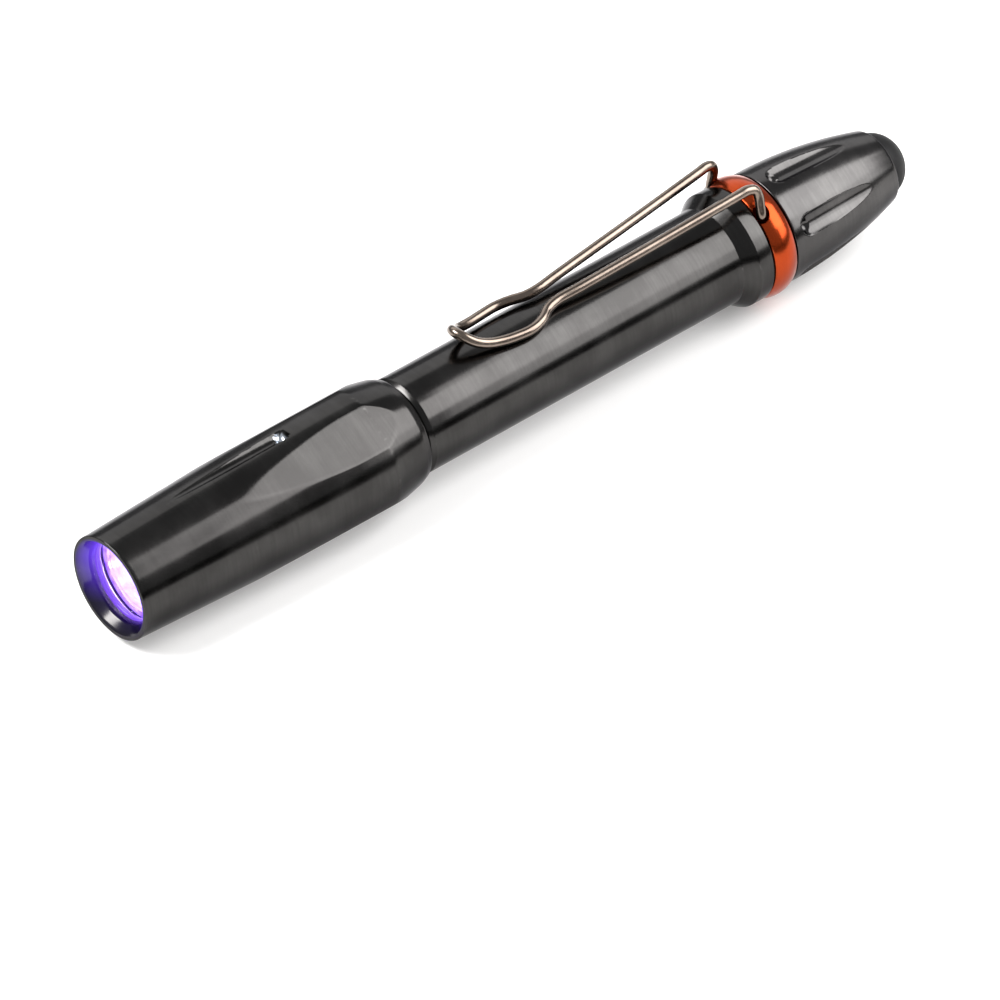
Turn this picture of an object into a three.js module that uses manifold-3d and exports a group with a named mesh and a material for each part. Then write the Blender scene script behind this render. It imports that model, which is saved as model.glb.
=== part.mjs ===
// Counterfeit detector pen: an ultraviolet pen torch for two AAA cells.
// Units are millimetres. The pen lies along X with its lens towards -X and its button towards +X.
// Z is up, the pocket clip is on top, and the origin is under the pen's middle, on the surface it rests on.
// Inside this file a station is a distance along X from the front rim, and radii are from the pen's axis.

import * as THREE from 'three';
import { mergeVertices } from 'three/addons/utils/BufferGeometryUtils.js';
import Module from 'manifold-3d';

const wasm = await Module();
wasm.setup();

// ---------------------------------------------------------------- clearances
const faceGap = 0.3; // between the ends of neighbouring pieces
const slideFit = 0.2; // radial, between sleeves that turn or slide
const seatFit = 0.1; // radial, between an O-ring and its groove or bore

// ---------------------------------------------------------------- cells
const cellRadius = 5.15;
const cellLength = 44.5;
const cellNubRadius = 2.2;
const cellNubLength = 0.8;
const cellFit = 0.25; // radial, between a cell and the tube

// ---------------------------------------------------------------- barrel, radii outwards from the cells
const barrelBore = cellRadius + cellFit;
const barrelWall = 1.4;
const neckWall = 0.9; // the part of the tube inside the head
const spigotWall = 0.7; // the threaded tail of the tube
const barrelRadius = barrelBore + barrelWall;
const neckRadius = barrelBore + neckWall;
const spigotRadius = barrelBore + spigotWall;
const collarWidth = 2.0;
const collarRadius = spigotRadius + collarWidth;
const collarLength = 2.2;
const flareLength = 1.9;
const shoulderGap = 0.45; // between the head's rear edge and the barrel's shoulder
const shoulderChamfer = 0.4;
const spigotLength = 10.5;
const cellPastCollar = 1.2; // how far the rear cell reaches into the spigot
const oringWidth = 1.2;
const oringDepth = 0.4;
const headRingInset = 2.3; // ahead of the head's rear edge
const tailRingInset = 1.9; // behind the cap's front face

// ---------------------------------------------------------------- head, walls outwards from its bore
const headBore = neckRadius + slideFit;
const headLength = 46.9;
const rearRounding = 1.1;
const taperLength = 5.5;
const parallelLength = 3.8;
const easeLength = 5.0; // where the cone runs into the parallel part
const rimWall = 0.83;
const rimRounding = 0.18;
const rimRadius = headBore + rimWall;
const headRadius = headBore + 2.25;
const coneEndRadius = headBore + 2.12;
const taperEndRadius = headBore + 1.14;
const headRearRadius = headBore + 0.6;
const flatDistance = headBore + 1.62; // from the axis to each milled flat
const flatOffset = 38; // degrees from a groove's centre line
const lipWidth = 0.63;
const lensLedge = 0.9; // the step that holds the lens
const lipInnerRadius = rimRadius - lipWidth;
const apertureRadius = headBore - lensLedge;
const bezelDepth = 1.6;
const apertureLength = 0.6;
const grooveCount = 3;
const grooveRadius = 1.2;
const grooveFloor = headBore + 1.25; // from the axis
const grooveEndInset = 3.3; // from the end of the cone to the centre of the groove's round end

// ---------------------------------------------------------------- optics and driver, behind the aperture
const gasketSection = 0.7;
const lensThickness = 1.2;
const reflectorDepth = 5.4;
const reflectorThroatRadius = 1.9;
const reflectorFlange = 0.8;
const boardThickness = 0.9;
const emitterDomeRadius = 1.06;
const emitterDomeHeight = 1.25;
const emitterWidth = 2.3;
const emitterBaseHeight = 0.4;
const pillFloor = 1.0;
const pillWall = 0.6;
const contactSpringLength = 1.6;

// ---------------------------------------------------------------- accent ring
const accentLength = 3.7;
const accentWall = 1.7;
const accentCrown = 0.5;

// ---------------------------------------------------------------- tail cap
const socketBore = spigotRadius + slideFit;
const capLength = 19.8;
const capWall = 1.62;
const capRadius = socketBore + capWall;
const capStraight = 0.8;
const capRearRounding = 0.4;
const capHoleRadius = 4.7;
const capRearRadius = capHoleRadius + 0.63;
const capSocketDepth = 8.0; // wide bore for the barrel's spigot and the switch retainer
const switchBore = 5.6;
const switchBoreDepth = 7.3;
const fluteCount = 6;
const fluteTurn = 9.5; // degrees from the clip's side
const fluteStart = 1.4; // behind the cap's front face
const fluteRearInset = 5.2; // from the cap's rear face to where a flute runs out
const fluteRadius = 2.2;
const fluteDepth = 0.8;

// ---------------------------------------------------------------- switch
const retainerLength = 1.1;
const retainerWall = 1.9;
const housingLength = 4.5;
const housingFit = 0.3;
const housingFloor = 0.7;
const bootFlange = 1.0;
const bootFit = 0.15; // radial, between the boot and the cap's rear hole
const bootThickness = 1.0;
const bootDome = 4.1; // how far the dome stands out of the cap
const buttonTravel = 1.5;
const stemRadius = 2.1;
const stemTipRadius = 1.0;
const stemTipLength = 1.0;

// ---------------------------------------------------------------- pocket clip
const wireRadius = 0.7;
const clipHoleFit = 0.4;
const clipHoleWall = 0.15; // left between a foot's hole and the ring's bore
const clipFootInset = 0.8; // behind the accent ring's front face
const clipFootSpread = 5.05; // from the middle plane to a foot's centre
const clipHeadGap = 11.1; // from the head's rear edge to the clip's tip

// ---------------------------------------------------------------- stations along the pen
const gasketStart = bezelDepth + apertureLength + slideFit;
const lensStart = gasketStart + gasketSection + slideFit;
const reflectorStart = lensStart + lensThickness + faceGap;
const reflectorEnd = reflectorStart + reflectorDepth;
const ledBoardStart = reflectorEnd + faceGap;
const pillStart = ledBoardStart + boardThickness + faceGap;
const driverStart = pillStart + pillFloor + faceGap;
const contactStart = driverStart + boardThickness + slideFit;
const frontCellStart = contactStart + contactSpringLength + slideFit;
const rearCellStart = frontCellStart + cellLength + slideFit;
const cellsEnd = rearCellStart + cellLength;
const pillEnd = frontCellStart + slideFit;
const barrelStart = pillEnd + faceGap;
const taperEnd = headLength - rearRounding;
const taperStart = taperEnd - taperLength;
const coneEnd = taperStart - parallelLength - easeLength;
const headRingStation = headLength - headRingInset;
const shoulderStart = headLength + shoulderGap;
const collarEnd = cellsEnd - cellPastCollar;
const flareEnd = collarEnd - collarLength;
const flareStart = flareEnd - flareLength;
const spigotEnd = collarEnd + spigotLength;
const accentStart = collarEnd + faceGap;
const accentEnd = accentStart + accentLength;
const clipStation = accentStart + clipFootInset;
const clipReach = clipStation - headLength - clipHeadGap;
const capStart = accentEnd + faceGap;
const capEnd = capStart + capLength;
const tailRingStation = capStart + tailRingInset;
const socketEnd = capStart + capSocketDepth;
const switchBoreEnd = socketEnd + switchBoreDepth;
const retainerEnd = socketEnd - faceGap;
const switchBoardStart = socketEnd + seatFit;
const housingStart = switchBoardStart + boardThickness + faceGap;
const housingEnd = housingStart + housingLength;
const bootStart = switchBoreEnd - seatFit - bootFlange;
const plungerHead = housingEnd + buttonTravel + faceGap;
const plungerTip = housingStart + housingFloor + faceGap + buttonTravel;
const plungerStep = plungerTip + stemTipLength;
const penLength = capEnd + bootDome;

// ---------------------------------------------------------------- sizes of pieces that fit others
const innerSeat = headBore - slideFit; // outer radius of the pieces stacked in the head
const reflectorMouthRadius = apertureRadius - slideFit;
const pillBore = innerSeat - pillWall;
const headBoardRadius = pillBore - 0.5;
const headRingFloor = neckRadius - oringDepth;
const tailRingFloor = spigotRadius - oringDepth;
const oringSection = oringDepth + slideFit - 1.8 * seatFit;
const housingRadius = switchBore - housingFit;
const housingBore = stemRadius + slideFit;
const bootWallRadius = capHoleRadius - bootFit;
const bootInner = bootWallRadius - bootThickness;
const clipHoleRadius = wireRadius + clipHoleFit;
const clipHoleEdge = clipFootSpread - clipHoleRadius;
const clipHoleBottom = Math.sqrt((socketBore + clipHoleWall) ** 2 - clipHoleEdge ** 2);
const clipFootHeight = clipHoleBottom + slideFit;

const roundSegments = 36;
const smallSegments = 24;
const axisHeight = headRadius * Math.cos(Math.PI / roundSegments); // the head lies on one facet

// ---------------------------------------------------------------- finishes
function finish(color, roughness, metalness) {
  return new THREE.MeshStandardMaterial({ color, roughness, metalness });
}

const blackAnodised = () => finish(0x2b2b2d, 0.28, 0.85);
const orangeAnodised = () => finish(0xc8461e, 0.3, 0.8);
const clipWire = () => finish(0xcfc0ae, 0.2, 1.0);
const blackRubber = () => finish(0x1c1b1d, 0.8, 0.0);
const brass = () => finish(0xb08a45, 0.35, 1.0);
const springSteel = () => finish(0xb9b9bb, 0.3, 1.0);
const boardGreen = () => finish(0x1f5a34, 0.55, 0.1);
const boardWhite = () => finish(0xe6e6ea, 0.5, 0.1);
const blackPlastic = () => finish(0x202022, 0.5, 0.0);
const glass = () => new THREE.MeshStandardMaterial({
  color: 0xe8ecff, roughness: 0.05, metalness: 0.0, transparent: true, opacity: 0.35,
});

// ---------------------------------------------------------------- solid helpers

// A closed triangle list with shared corners, no slivers on the axis, and its faces pointing out.
function closedMesh(geometry) {
  const bare = geometry.index ? geometry.toNonIndexed() : geometry.clone();
  bare.deleteAttribute('normal');
  bare.deleteAttribute('uv');
  const merged = mergeVertices(bare, 1e-4);
  const corners = merged.attributes.position.array;
  const kept = [];
  let volume = 0;
  for (let i = 0; i < merged.index.count; i += 3) {
    const [a, b, c] = [0, 1, 2].map((k) => merged.index.array[i + k]);
    if (a === b || b === c || c === a) continue;
    kept.push(a, b, c);
    const [p, q, r] = [a, b, c].map((k) => new THREE.Vector3().fromArray(corners, 3 * k));
    volume += p.dot(q.cross(r));
  }
  if (volume < 0) kept.reverse();
  return { corners: new Float32Array(corners), triangles: new Uint32Array(kept) };
}

function toManifold(geometry) {
  const { corners, triangles } = closedMesh(geometry);
  return new wasm.Manifold(new wasm.Mesh({ numProp: 3, vertProperties: corners, triVerts: triangles }));
}

function toGeometry(manifold) {
  const mesh = manifold.getMesh();
  const geometry = new THREE.BufferGeometry();
  geometry.setAttribute('position', new THREE.BufferAttribute(new Float32Array(mesh.vertProperties), 3));
  geometry.setIndex(new THREE.BufferAttribute(new Uint32Array(mesh.triVerts), 1));
  return geometry;
}

function cut(geometry, tools) {
  return toGeometry(tools.reduce((body, each) => body.subtract(toManifold(each)), toManifold(geometry)));
}

function join(geometry, others) {
  return toGeometry(others.reduce((body, each) => body.add(toManifold(each)), toManifold(geometry)));
}

// Turns an outline of [station, radius] pairs about the pen's axis, with a facet on top and below.
function turned(outline, segments = roundSegments) {
  const profile = outline.map(([station, radius]) => new THREE.Vector2(radius, station));
  return new THREE.LatheGeometry(profile, segments, Math.PI / segments).rotateZ(-Math.PI / 2);
}

// A turned ring or tube: the outline is closed back to its first point.
function turnedRing(outline, segments = roundSegments) {
  return turned([...outline, outline[0]], segments);
}

function tube(from, to, inner, outer, segments = roundSegments) {
  return turnedRing([[from, inner], [from, outer], [to, outer], [to, inner]], segments);
}

function rod(from, to, radius, segments = roundSegments) {
  return turned([[from, 0], [from, radius], [to, radius], [to, 0]], segments);
}

function oring(middle, inner, depth, width) {
  const steps = 6;
  const outline = [];
  for (let i = 0; i < steps; i += 1) {
    const angle = (2 * Math.PI * i) / steps;
    const across = (width / 2) * Math.cos(angle);
    outline.push([middle + across, inner + (depth / 2) * (1 - Math.sin(angle))]);
  }
  return turnedRing(outline);
}

// A wire of round section along a smooth curve through the given points.
function wire(points, radius, steps, sides) {
  const curve = new THREE.CatmullRomCurve3(points, false, 'centripetal');
  const section = new THREE.Shape();
  for (let i = 0; i < sides; i += 1) {
    const angle = (2 * Math.PI * i) / sides;
    const place = [radius * Math.cos(angle), radius * Math.sin(angle)];
    if (i === 0) section.moveTo(...place);
    else section.lineTo(...place);
  }
  section.closePath();
  return new THREE.ExtrudeGeometry(section, { steps, extrudePath: curve, bevelEnabled: false });
}

// A coil about the pen's axis, whose radius runs evenly from one end to the other.
function coil(from, to, startRadius, endRadius, turns, wireSize) {
  const perTurn = 12;
  const points = [];
  for (let i = 0; i <= turns * perTurn; i += 1) {
    const share = i / (turns * perTurn);
    const angle = (2 * Math.PI * i) / perTurn;
    const radius = THREE.MathUtils.lerp(startRadius, endRadius, share);
    const station = THREE.MathUtils.lerp(from + wireSize, to - wireSize, share);
    points.push(new THREE.Vector3(station, radius * Math.sin(angle), radius * Math.cos(angle)));
  }
  return wire(points, wireSize, turns * perTurn, 6);
}

// A quarter ellipse from the full radius to the axis, for a dome that is height long.
function domeArc(radius, height, from) {
  const steps = 6;
  const points = [];
  for (let i = 0; i <= steps; i += 1) {
    const angle = (Math.PI / 2) * (i / steps);
    points.push([from + height * Math.sin(angle), i === steps ? 0 : radius * Math.cos(angle)]);
  }
  return points;
}

// Turns a tool made on the top of the pen to another side, by degrees about the axis.
const turnedTo = (geometry, degrees) => geometry.rotateX(THREE.MathUtils.degToRad(degrees));

// ---------------------------------------------------------------- head

function headOutline() {
  const steps = 5;
  const outline = [[0, lipInnerRadius], [0, rimRadius - rimRounding], [rimRounding, rimRadius]];
  for (let i = 0; i <= steps; i += 1) {
    const share = i / steps;
    const rise = (headRadius - coneEndRadius) * Math.sin((share * Math.PI) / 2);
    outline.push([coneEnd + easeLength * share, coneEndRadius + rise]);
  }
  const rounding = 0.09;
  outline.push([taperStart, headRadius], [taperEnd, taperEndRadius]);
  outline.push([(taperEnd + headLength) / 2 + rounding, (taperEndRadius + headRearRadius) / 2 + rounding]);
  outline.push([headLength, headRearRadius]);
  outline.push([headLength, headBore], [bezelDepth + apertureLength, headBore]);
  outline.push([bezelDepth + apertureLength, apertureRadius], [bezelDepth, apertureRadius]);
  return outline;
}

function grooveTool() {
  const round = 6;
  const grooveEnd = coneEnd - grooveEndInset;
  const outline = [[-grooveEnd, 0], [-grooveEnd, grooveRadius]];
  for (let i = 0; i <= round; i += 1) {
    const angle = (Math.PI / 2) * (1 - i / round);
    outline.push([grooveRadius * Math.cos(angle), grooveRadius * Math.sin(angle)]);
  }
  return turned(outline, 20).translate(grooveEnd, 0, grooveFloor + grooveRadius);
}

function flatTool() {
  const size = 4 * headRadius;
  const height = headRadius;
  const block = new THREE.BoxGeometry(4 * headLength, size, height);
  return block.translate(headLength, 0, flatDistance + height / 2);
}

function headShell() {
  const cuts = [];
  for (let i = 0; i < grooveCount; i += 1) {
    const side = (360 * i) / grooveCount;
    cuts.push(turnedTo(flatTool(), side - flatOffset));
    cuts.push(turnedTo(flatTool(), side + flatOffset));
    cuts.push(turnedTo(grooveTool(), side));
  }
  return cut(turnedRing(headOutline()), cuts);
}

function lensGasket() {
  const middle = gasketStart + gasketSection / 2;
  return oring(middle, innerSeat - gasketSection, gasketSection, gasketSection);
}

const lensWindow = () => rod(lensStart, lensStart + lensThickness, innerSeat);

function reflector() {
  const steps = 6;
  const flangeStep = 0.5;
  const footWall = 1.6;
  const flangeEnd = reflectorStart + reflectorFlange;
  const outline = [[reflectorStart, innerSeat], [flangeEnd, innerSeat]];
  outline.push([flangeEnd, innerSeat - flangeStep]);
  outline.push([reflectorEnd, reflectorThroatRadius + footWall], [reflectorEnd, reflectorThroatRadius]);
  for (let i = steps - 1; i >= 0; i -= 1) {
    const share = i / steps;
    const station = THREE.MathUtils.lerp(reflectorStart, reflectorEnd, share);
    const squared = THREE.MathUtils.lerp(reflectorMouthRadius ** 2, reflectorThroatRadius ** 2, share);
    outline.push([station, Math.sqrt(squared)]);
  }
  return turnedRing(outline);
}

const ledBoard = () => rod(ledBoardStart, ledBoardStart + boardThickness, headBoardRadius, smallSegments);

// The emitter's square base lies on the board, with a dome that reaches into the reflector's throat.
function ledEmitter() {
  const baseEnd = ledBoardStart - slideFit;
  const baseStart = baseEnd - emitterBaseHeight;
  const base = new THREE.BoxGeometry(emitterBaseHeight, emitterWidth, emitterWidth);
  base.translate((baseStart + baseEnd) / 2, 0, 0);
  const sunk = baseEnd - seatFit; // the dome starts inside the base, so that the two join
  const arc = domeArc(emitterDomeRadius, -emitterDomeHeight, baseStart);
  return join(base, [turned([[sunk, 0], [sunk, emitterDomeRadius], ...arc], 16)]);
}

// The brass carrier: a floor behind the LED board and a skirt that meets the barrel for the return contact.
function ledPill() {
  return turned([
    [pillStart, 0], [pillStart, innerSeat], [pillEnd, innerSeat], [pillEnd, pillBore],
    [pillStart + pillFloor, pillBore], [pillStart + pillFloor, 0],
  ]);
}

const driverBoard = () => rod(driverStart, driverStart + boardThickness, headBoardRadius, smallSegments);
const contactSpring = () => coil(contactStart, contactStart + contactSpringLength, 2.4, 1.3, 2, 0.2);

// ---------------------------------------------------------------- barrel and cells

// A shallow square groove round a tube, as outline points.
function ringSeat(middle, outer, floor) {
  const half = oringWidth / 2 + seatFit;
  return [[middle - half, outer], [middle - half, floor], [middle + half, floor], [middle + half, outer]];
}

function barrel() {
  return turnedRing([
    [barrelStart, barrelBore], [barrelStart, neckRadius],
    ...ringSeat(headRingStation, neckRadius, headRingFloor),
    [shoulderStart, neckRadius], [shoulderStart + shoulderChamfer, barrelRadius],
    [flareStart, barrelRadius], [flareEnd, collarRadius], [collarEnd, collarRadius],
    [collarEnd, spigotRadius],
    ...ringSeat(tailRingStation, spigotRadius, tailRingFloor),
    [spigotEnd, spigotRadius], [spigotEnd, barrelBore],
  ]);
}

const headOring = () => oring(headRingStation, headRingFloor + seatFit, oringSection, oringWidth);
const tailOring = () => oring(tailRingStation, tailRingFloor + seatFit, oringSection, oringWidth);

function cell(start) {
  const edge = 0.4;
  return turned([
    [start, 0], [start, cellNubRadius], [start + cellNubLength, cellNubRadius],
    [start + cellNubLength, cellRadius - edge], [start + cellNubLength + edge, cellRadius],
    [start + cellLength - edge, cellRadius], [start + cellLength, cellRadius - edge],
    [start + cellLength, 0],
  ], smallSegments);
}

// ---------------------------------------------------------------- accent ring and clip

function accentRing() {
  const edge = socketBore + accentWall;
  const middle = (accentStart + accentEnd) / 2;
  const steps = 6;
  const outline = [[accentStart, socketBore]];
  for (let i = 0; i <= steps; i += 1) {
    const across = (2 * i) / steps - 1;
    outline.push([middle + (across * accentLength) / 2, edge + accentCrown * (1 - across ** 2)]);
  }
  outline.push([accentEnd, socketBore]);
  const holes = [-1, 1].map((side) => {
    const hole = new THREE.CylinderGeometry(clipHoleRadius, clipHoleRadius, headRadius, 20);
    hole.rotateX(Math.PI / 2);
    return hole.translate(clipStation, side * clipFootSpread, clipHoleBottom + headRadius / 2);
  });
  return cut(turnedRing(outline), holes);
}

// One side of the wire, each point with its distance from the middle plane and its height above the
// barrel's side. The nose runs back from the tip to a straight leg, whose middle bows out slightly, and
// the bend runs from the leg's other end to above the foot. The loop all but touches the barrel.
const clipNose = [ // first number: behind the tip
  [0, 0, 2.6], [0.35, 1.15, 2.3], [1.3, 2.1, 1.5], [2.8, 2.75, 0.8],
  [4.6, 3.2, 0.4], [6.8, 3.6, 0.2], [9.4, 3.8, 0.15], [11.6, 3.2, 0.3],
  [13.2, 2.3, 0.55], [15.0, 1.95, 0.8], [18.8, 2.24, 1.1],
];
const clipLegBow = [0.484375, 3.15, 2.15]; // first number: share of the leg from the bend
const clipBend = [ // first number: ahead of the foot
  [2.6, 4.02, 3.2], [1.1, 4.15, 3.32], [0.1, 4.3, 2.95], [-0.25, 4.5, 2.0], [-0.1, 4.85, 0.4],
];

function pocketClip() {
  const legFront = clipReach - clipNose.at(-1)[0];
  const legRear = clipBend[0][0];
  const bowAhead = legRear + (legFront - legRear) * clipLegBow[0];
  const path = [
    ...clipNose.map(([behind, across, height]) => [clipReach - behind, across, height]),
    [bowAhead, clipLegBow[1], clipLegBow[2]],
    ...clipBend,
  ];
  const side = path.map(([ahead, across, height]) => {
    return [clipStation - ahead, across, barrelRadius + height];
  });
  side.push([clipStation, clipFootSpread, clipFootHeight + 0.9]);
  side.push([clipStation, clipFootSpread, clipFootHeight]);
  const near = side.map(([x, y, z]) => new THREE.Vector3(x, -y, z));
  const far = side.map(([x, y, z]) => new THREE.Vector3(x, y, z));
  return wire([...near.reverse(), ...far.slice(1)], wireRadius, 104, 8);
}

// ---------------------------------------------------------------- tail cap

// The cap's side is one long arc from its straight front edge to its rear edge.
function capSide(station) {
  const length = capLength - capStraight - capRearRounding;
  const drop = capRadius - capRearRadius;
  const arcRadius = (length ** 2 + drop ** 2) / (2 * drop);
  const beyond = Math.max(0, station - capStart - capStraight);
  return capRadius - arcRadius + Math.sqrt(arcRadius ** 2 - beyond ** 2);
}

function fluteTool() {
  const round = 6;
  const fluteEnd = capEnd - fluteRearInset;
  const middle = capStart + fluteStart + Math.sqrt(fluteRadius ** 2 - (fluteRadius - fluteDepth) ** 2);
  const floor = capSide(middle) - fluteDepth;
  const slope = Math.atan2(floor - capSide(fluteEnd), fluteEnd - middle);
  const outline = [];
  for (let i = 0; i <= round; i += 1) {
    const angle = (Math.PI / 2) * (i / round);
    outline.push([-fluteRadius * Math.cos(angle), i === 0 ? 0 : fluteRadius * Math.sin(angle)]);
  }
  outline.push([capLength, fluteRadius], [capLength, 0]);
  return turned(outline, 28).rotateY(slope).translate(middle, 0, floor + fluteRadius);
}

function tailCap() {
  const steps = 10;
  const arcEnd = capEnd - capRearRounding;
  const outline = [[capStart, socketBore], [capStart, capRadius]];
  for (let i = 0; i <= steps; i += 1) {
    const station = THREE.MathUtils.lerp(capStart + capStraight, arcEnd, i / steps);
    outline.push([station, capSide(station)]);
  }
  outline.push([capEnd - capRearRounding / 3, capRearRadius - capRearRounding / 3]);
  outline.push([capEnd, capRearRadius - capRearRounding], [capEnd, capHoleRadius]);
  outline.push([switchBoreEnd, capHoleRadius], [switchBoreEnd, switchBore]);
  outline.push([socketEnd, switchBore], [socketEnd, socketBore]);
  const flutes = [];
  for (let i = 0; i < fluteCount; i += 1) {
    flutes.push(turnedTo(fluteTool(), fluteTurn + (360 * i) / fluteCount));
  }
  return cut(turnedRing(outline), flutes);
}

// ---------------------------------------------------------------- switch

// A brass ring screwed in over the switch board, with two notches for a pin spanner.
function switchRetainer() {
  const front = retainerEnd - retainerLength;
  const outer = socketBore - slideFit;
  const inner = outer - retainerWall;
  const notches = [0, 180].map((side) => {
    const notch = new THREE.BoxGeometry(2 * retainerLength, 0.75 * retainerWall, retainerWall);
    return turnedTo(notch.translate(front, 0, inner), side);
  });
  return cut(tube(front, retainerEnd, inner, outer), notches);
}

function switchBoard() {
  return rod(switchBoardStart, switchBoardStart + boardThickness, housingRadius, smallSegments);
}

const switchHousing = () => turned([
  [housingStart, 0], [housingStart, housingRadius], [housingEnd, housingRadius],
  [housingEnd, housingBore], [housingStart + housingFloor, housingBore], [housingStart + housingFloor, 0],
], smallSegments);

function switchBoot() {
  return turned([
    ...domeArc(bootInner, bootDome - bootThickness, capEnd).reverse(),
    [bootStart, bootInner], [bootStart, switchBore - slideFit],
    [bootStart + bootFlange, switchBore - slideFit], [bootStart + bootFlange, bootWallRadius],
    ...domeArc(bootWallRadius, bootDome, capEnd),
  ]);
}

// The button's core: a cap inside the boot, on a stepped stem that runs in the switch housing.
function switchPlunger() {
  const radius = bootInner - slideFit;
  const domeHeight = bootDome - bootThickness - slideFit;
  return turned([
    [plungerTip, 0], [plungerTip, stemTipRadius], [plungerStep, stemTipRadius],
    [plungerStep, stemRadius], [plungerHead, stemRadius], [plungerHead, radius],
    ...domeArc(radius, domeHeight, capEnd),
  ], smallSegments);
}

function plungerSpring() {
  const middle = (stemTipRadius + housingBore) / 2;
  return coil(housingStart + housingFloor + seatFit, plungerStep - seatFit, middle, middle, 3, 0.22);
}

const tailSpring = () => coil(cellsEnd + slideFit, switchBoardStart - slideFit, 2.6, 3.5, 5, 0.35);

// ---------------------------------------------------------------- assembly

const pen = new THREE.Group();
pen.position.set(-penLength / 2, 0, axisHeight);

function place(name, geometry, material) {
  const { corners, triangles } = closedMesh(geometry);
  const solid = new THREE.BufferGeometry();
  solid.setAttribute('position', new THREE.BufferAttribute(corners, 3));
  solid.setIndex(new THREE.BufferAttribute(triangles, 1));
  const mesh = new THREE.Mesh(solid, material);
  mesh.name = name;
  pen.add(mesh);
}

place('head_shell', headShell(), blackAnodised());
place('lens_gasket', lensGasket(), blackRubber());
place('lens_window', lensWindow(), glass());
place('reflector', reflector(), springSteel());
place('led_emitter', ledEmitter(), boardWhite());
place('led_board', ledBoard(), boardWhite());
place('led_pill', ledPill(), brass());
place('driver_board', driverBoard(), boardGreen());
place('contact_spring', contactSpring(), springSteel());
place('head_oring', headOring(), blackRubber());
place('barrel', barrel(), blackAnodised());
place('battery_front', cell(frontCellStart), blackPlastic());
place('battery_rear', cell(rearCellStart), blackPlastic());
place('accent_ring', accentRing(), orangeAnodised());
place('pocket_clip', pocketClip(), clipWire());
place('tail_oring', tailOring(), blackRubber());
place('tail_cap', tailCap(), blackAnodised());
place('tail_spring', tailSpring(), springSteel());
place('switch_retainer', switchRetainer(), brass());
place('switch_board', switchBoard(), boardGreen());
place('switch_housing', switchHousing(), blackPlastic());
place('plunger_spring', plungerSpring(), springSteel());
place('switch_plunger', switchPlunger(), blackPlastic());
place('switch_boot', switchBoot(), blackRubber());

const root = new THREE.Group();
root.add(pen);

export default root;
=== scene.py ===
"""Looks of the counterfeit detector pen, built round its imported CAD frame.

Lengths in the tables are millimetres. A station is a distance along the pen from the front rim, and an
angle is in degrees about the pen's axis, from the clip's side towards the camera's.
"""

import math

import bpy
import numpy as np
from mathutils import Matrix, Vector


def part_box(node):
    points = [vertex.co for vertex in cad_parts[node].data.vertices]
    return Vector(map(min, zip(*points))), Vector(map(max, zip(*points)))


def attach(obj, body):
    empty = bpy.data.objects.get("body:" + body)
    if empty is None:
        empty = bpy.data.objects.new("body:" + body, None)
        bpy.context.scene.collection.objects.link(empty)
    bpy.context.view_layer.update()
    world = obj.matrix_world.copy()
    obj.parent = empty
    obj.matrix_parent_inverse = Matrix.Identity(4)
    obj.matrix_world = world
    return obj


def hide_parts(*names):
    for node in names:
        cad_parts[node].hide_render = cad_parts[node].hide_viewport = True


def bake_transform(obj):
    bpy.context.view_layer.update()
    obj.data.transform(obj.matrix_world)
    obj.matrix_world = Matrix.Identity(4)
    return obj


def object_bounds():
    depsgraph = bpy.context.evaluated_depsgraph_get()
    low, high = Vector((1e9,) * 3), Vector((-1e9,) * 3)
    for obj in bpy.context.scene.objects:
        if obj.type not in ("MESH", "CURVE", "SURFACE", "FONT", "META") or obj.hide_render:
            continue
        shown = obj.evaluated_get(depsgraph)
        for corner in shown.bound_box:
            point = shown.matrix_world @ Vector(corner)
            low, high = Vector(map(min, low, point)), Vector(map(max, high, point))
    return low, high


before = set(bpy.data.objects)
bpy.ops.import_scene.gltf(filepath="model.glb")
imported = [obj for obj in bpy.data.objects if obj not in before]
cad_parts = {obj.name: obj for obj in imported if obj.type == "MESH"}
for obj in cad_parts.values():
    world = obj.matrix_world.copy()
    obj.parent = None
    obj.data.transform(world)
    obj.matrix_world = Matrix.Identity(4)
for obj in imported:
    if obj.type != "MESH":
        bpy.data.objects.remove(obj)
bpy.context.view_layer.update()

MM = 0.001
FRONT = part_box("head_shell")[0].x
AXIS = (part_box("barrel")[0].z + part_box("barrel")[1].z) / 2
OUTSIDE = 99.0  # a radius beyond every piece, where a tool cuts nothing


def spot(station, across, height):
    """A point from its station, its distance to the camera's side and its height above the axis."""
    return Vector((FRONT + station * MM, -across * MM, AXIS + height * MM))


# ------------------------------------------------------------------------------------------ meshes


def make_object(name, points, faces, edge=None, sharp=40):
    """A mesh object with smooth shading, sharp edges above an angle, and its edge-wear attribute."""
    mesh = bpy.data.meshes.new(name)
    mesh.from_pydata([tuple(p) for p in points], [], faces)
    mesh.validate()
    mesh.update()
    mesh.shade_smooth()
    mesh.set_sharp_from_angle(angle=math.radians(sharp))
    values = np.zeros(len(mesh.vertices), np.float32) if edge is None else np.asarray(edge, np.float32)
    mesh.attributes.new("edge", "FLOAT", "POINT").data.foreach_set("value", values)
    piece = bpy.data.objects.new(name, mesh)
    bpy.context.scene.collection.objects.link(piece)
    return piece


FILLET_STEPS = 4
FILLET_SHARE = 0.45  # of the shorter neighbouring side, at most


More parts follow.
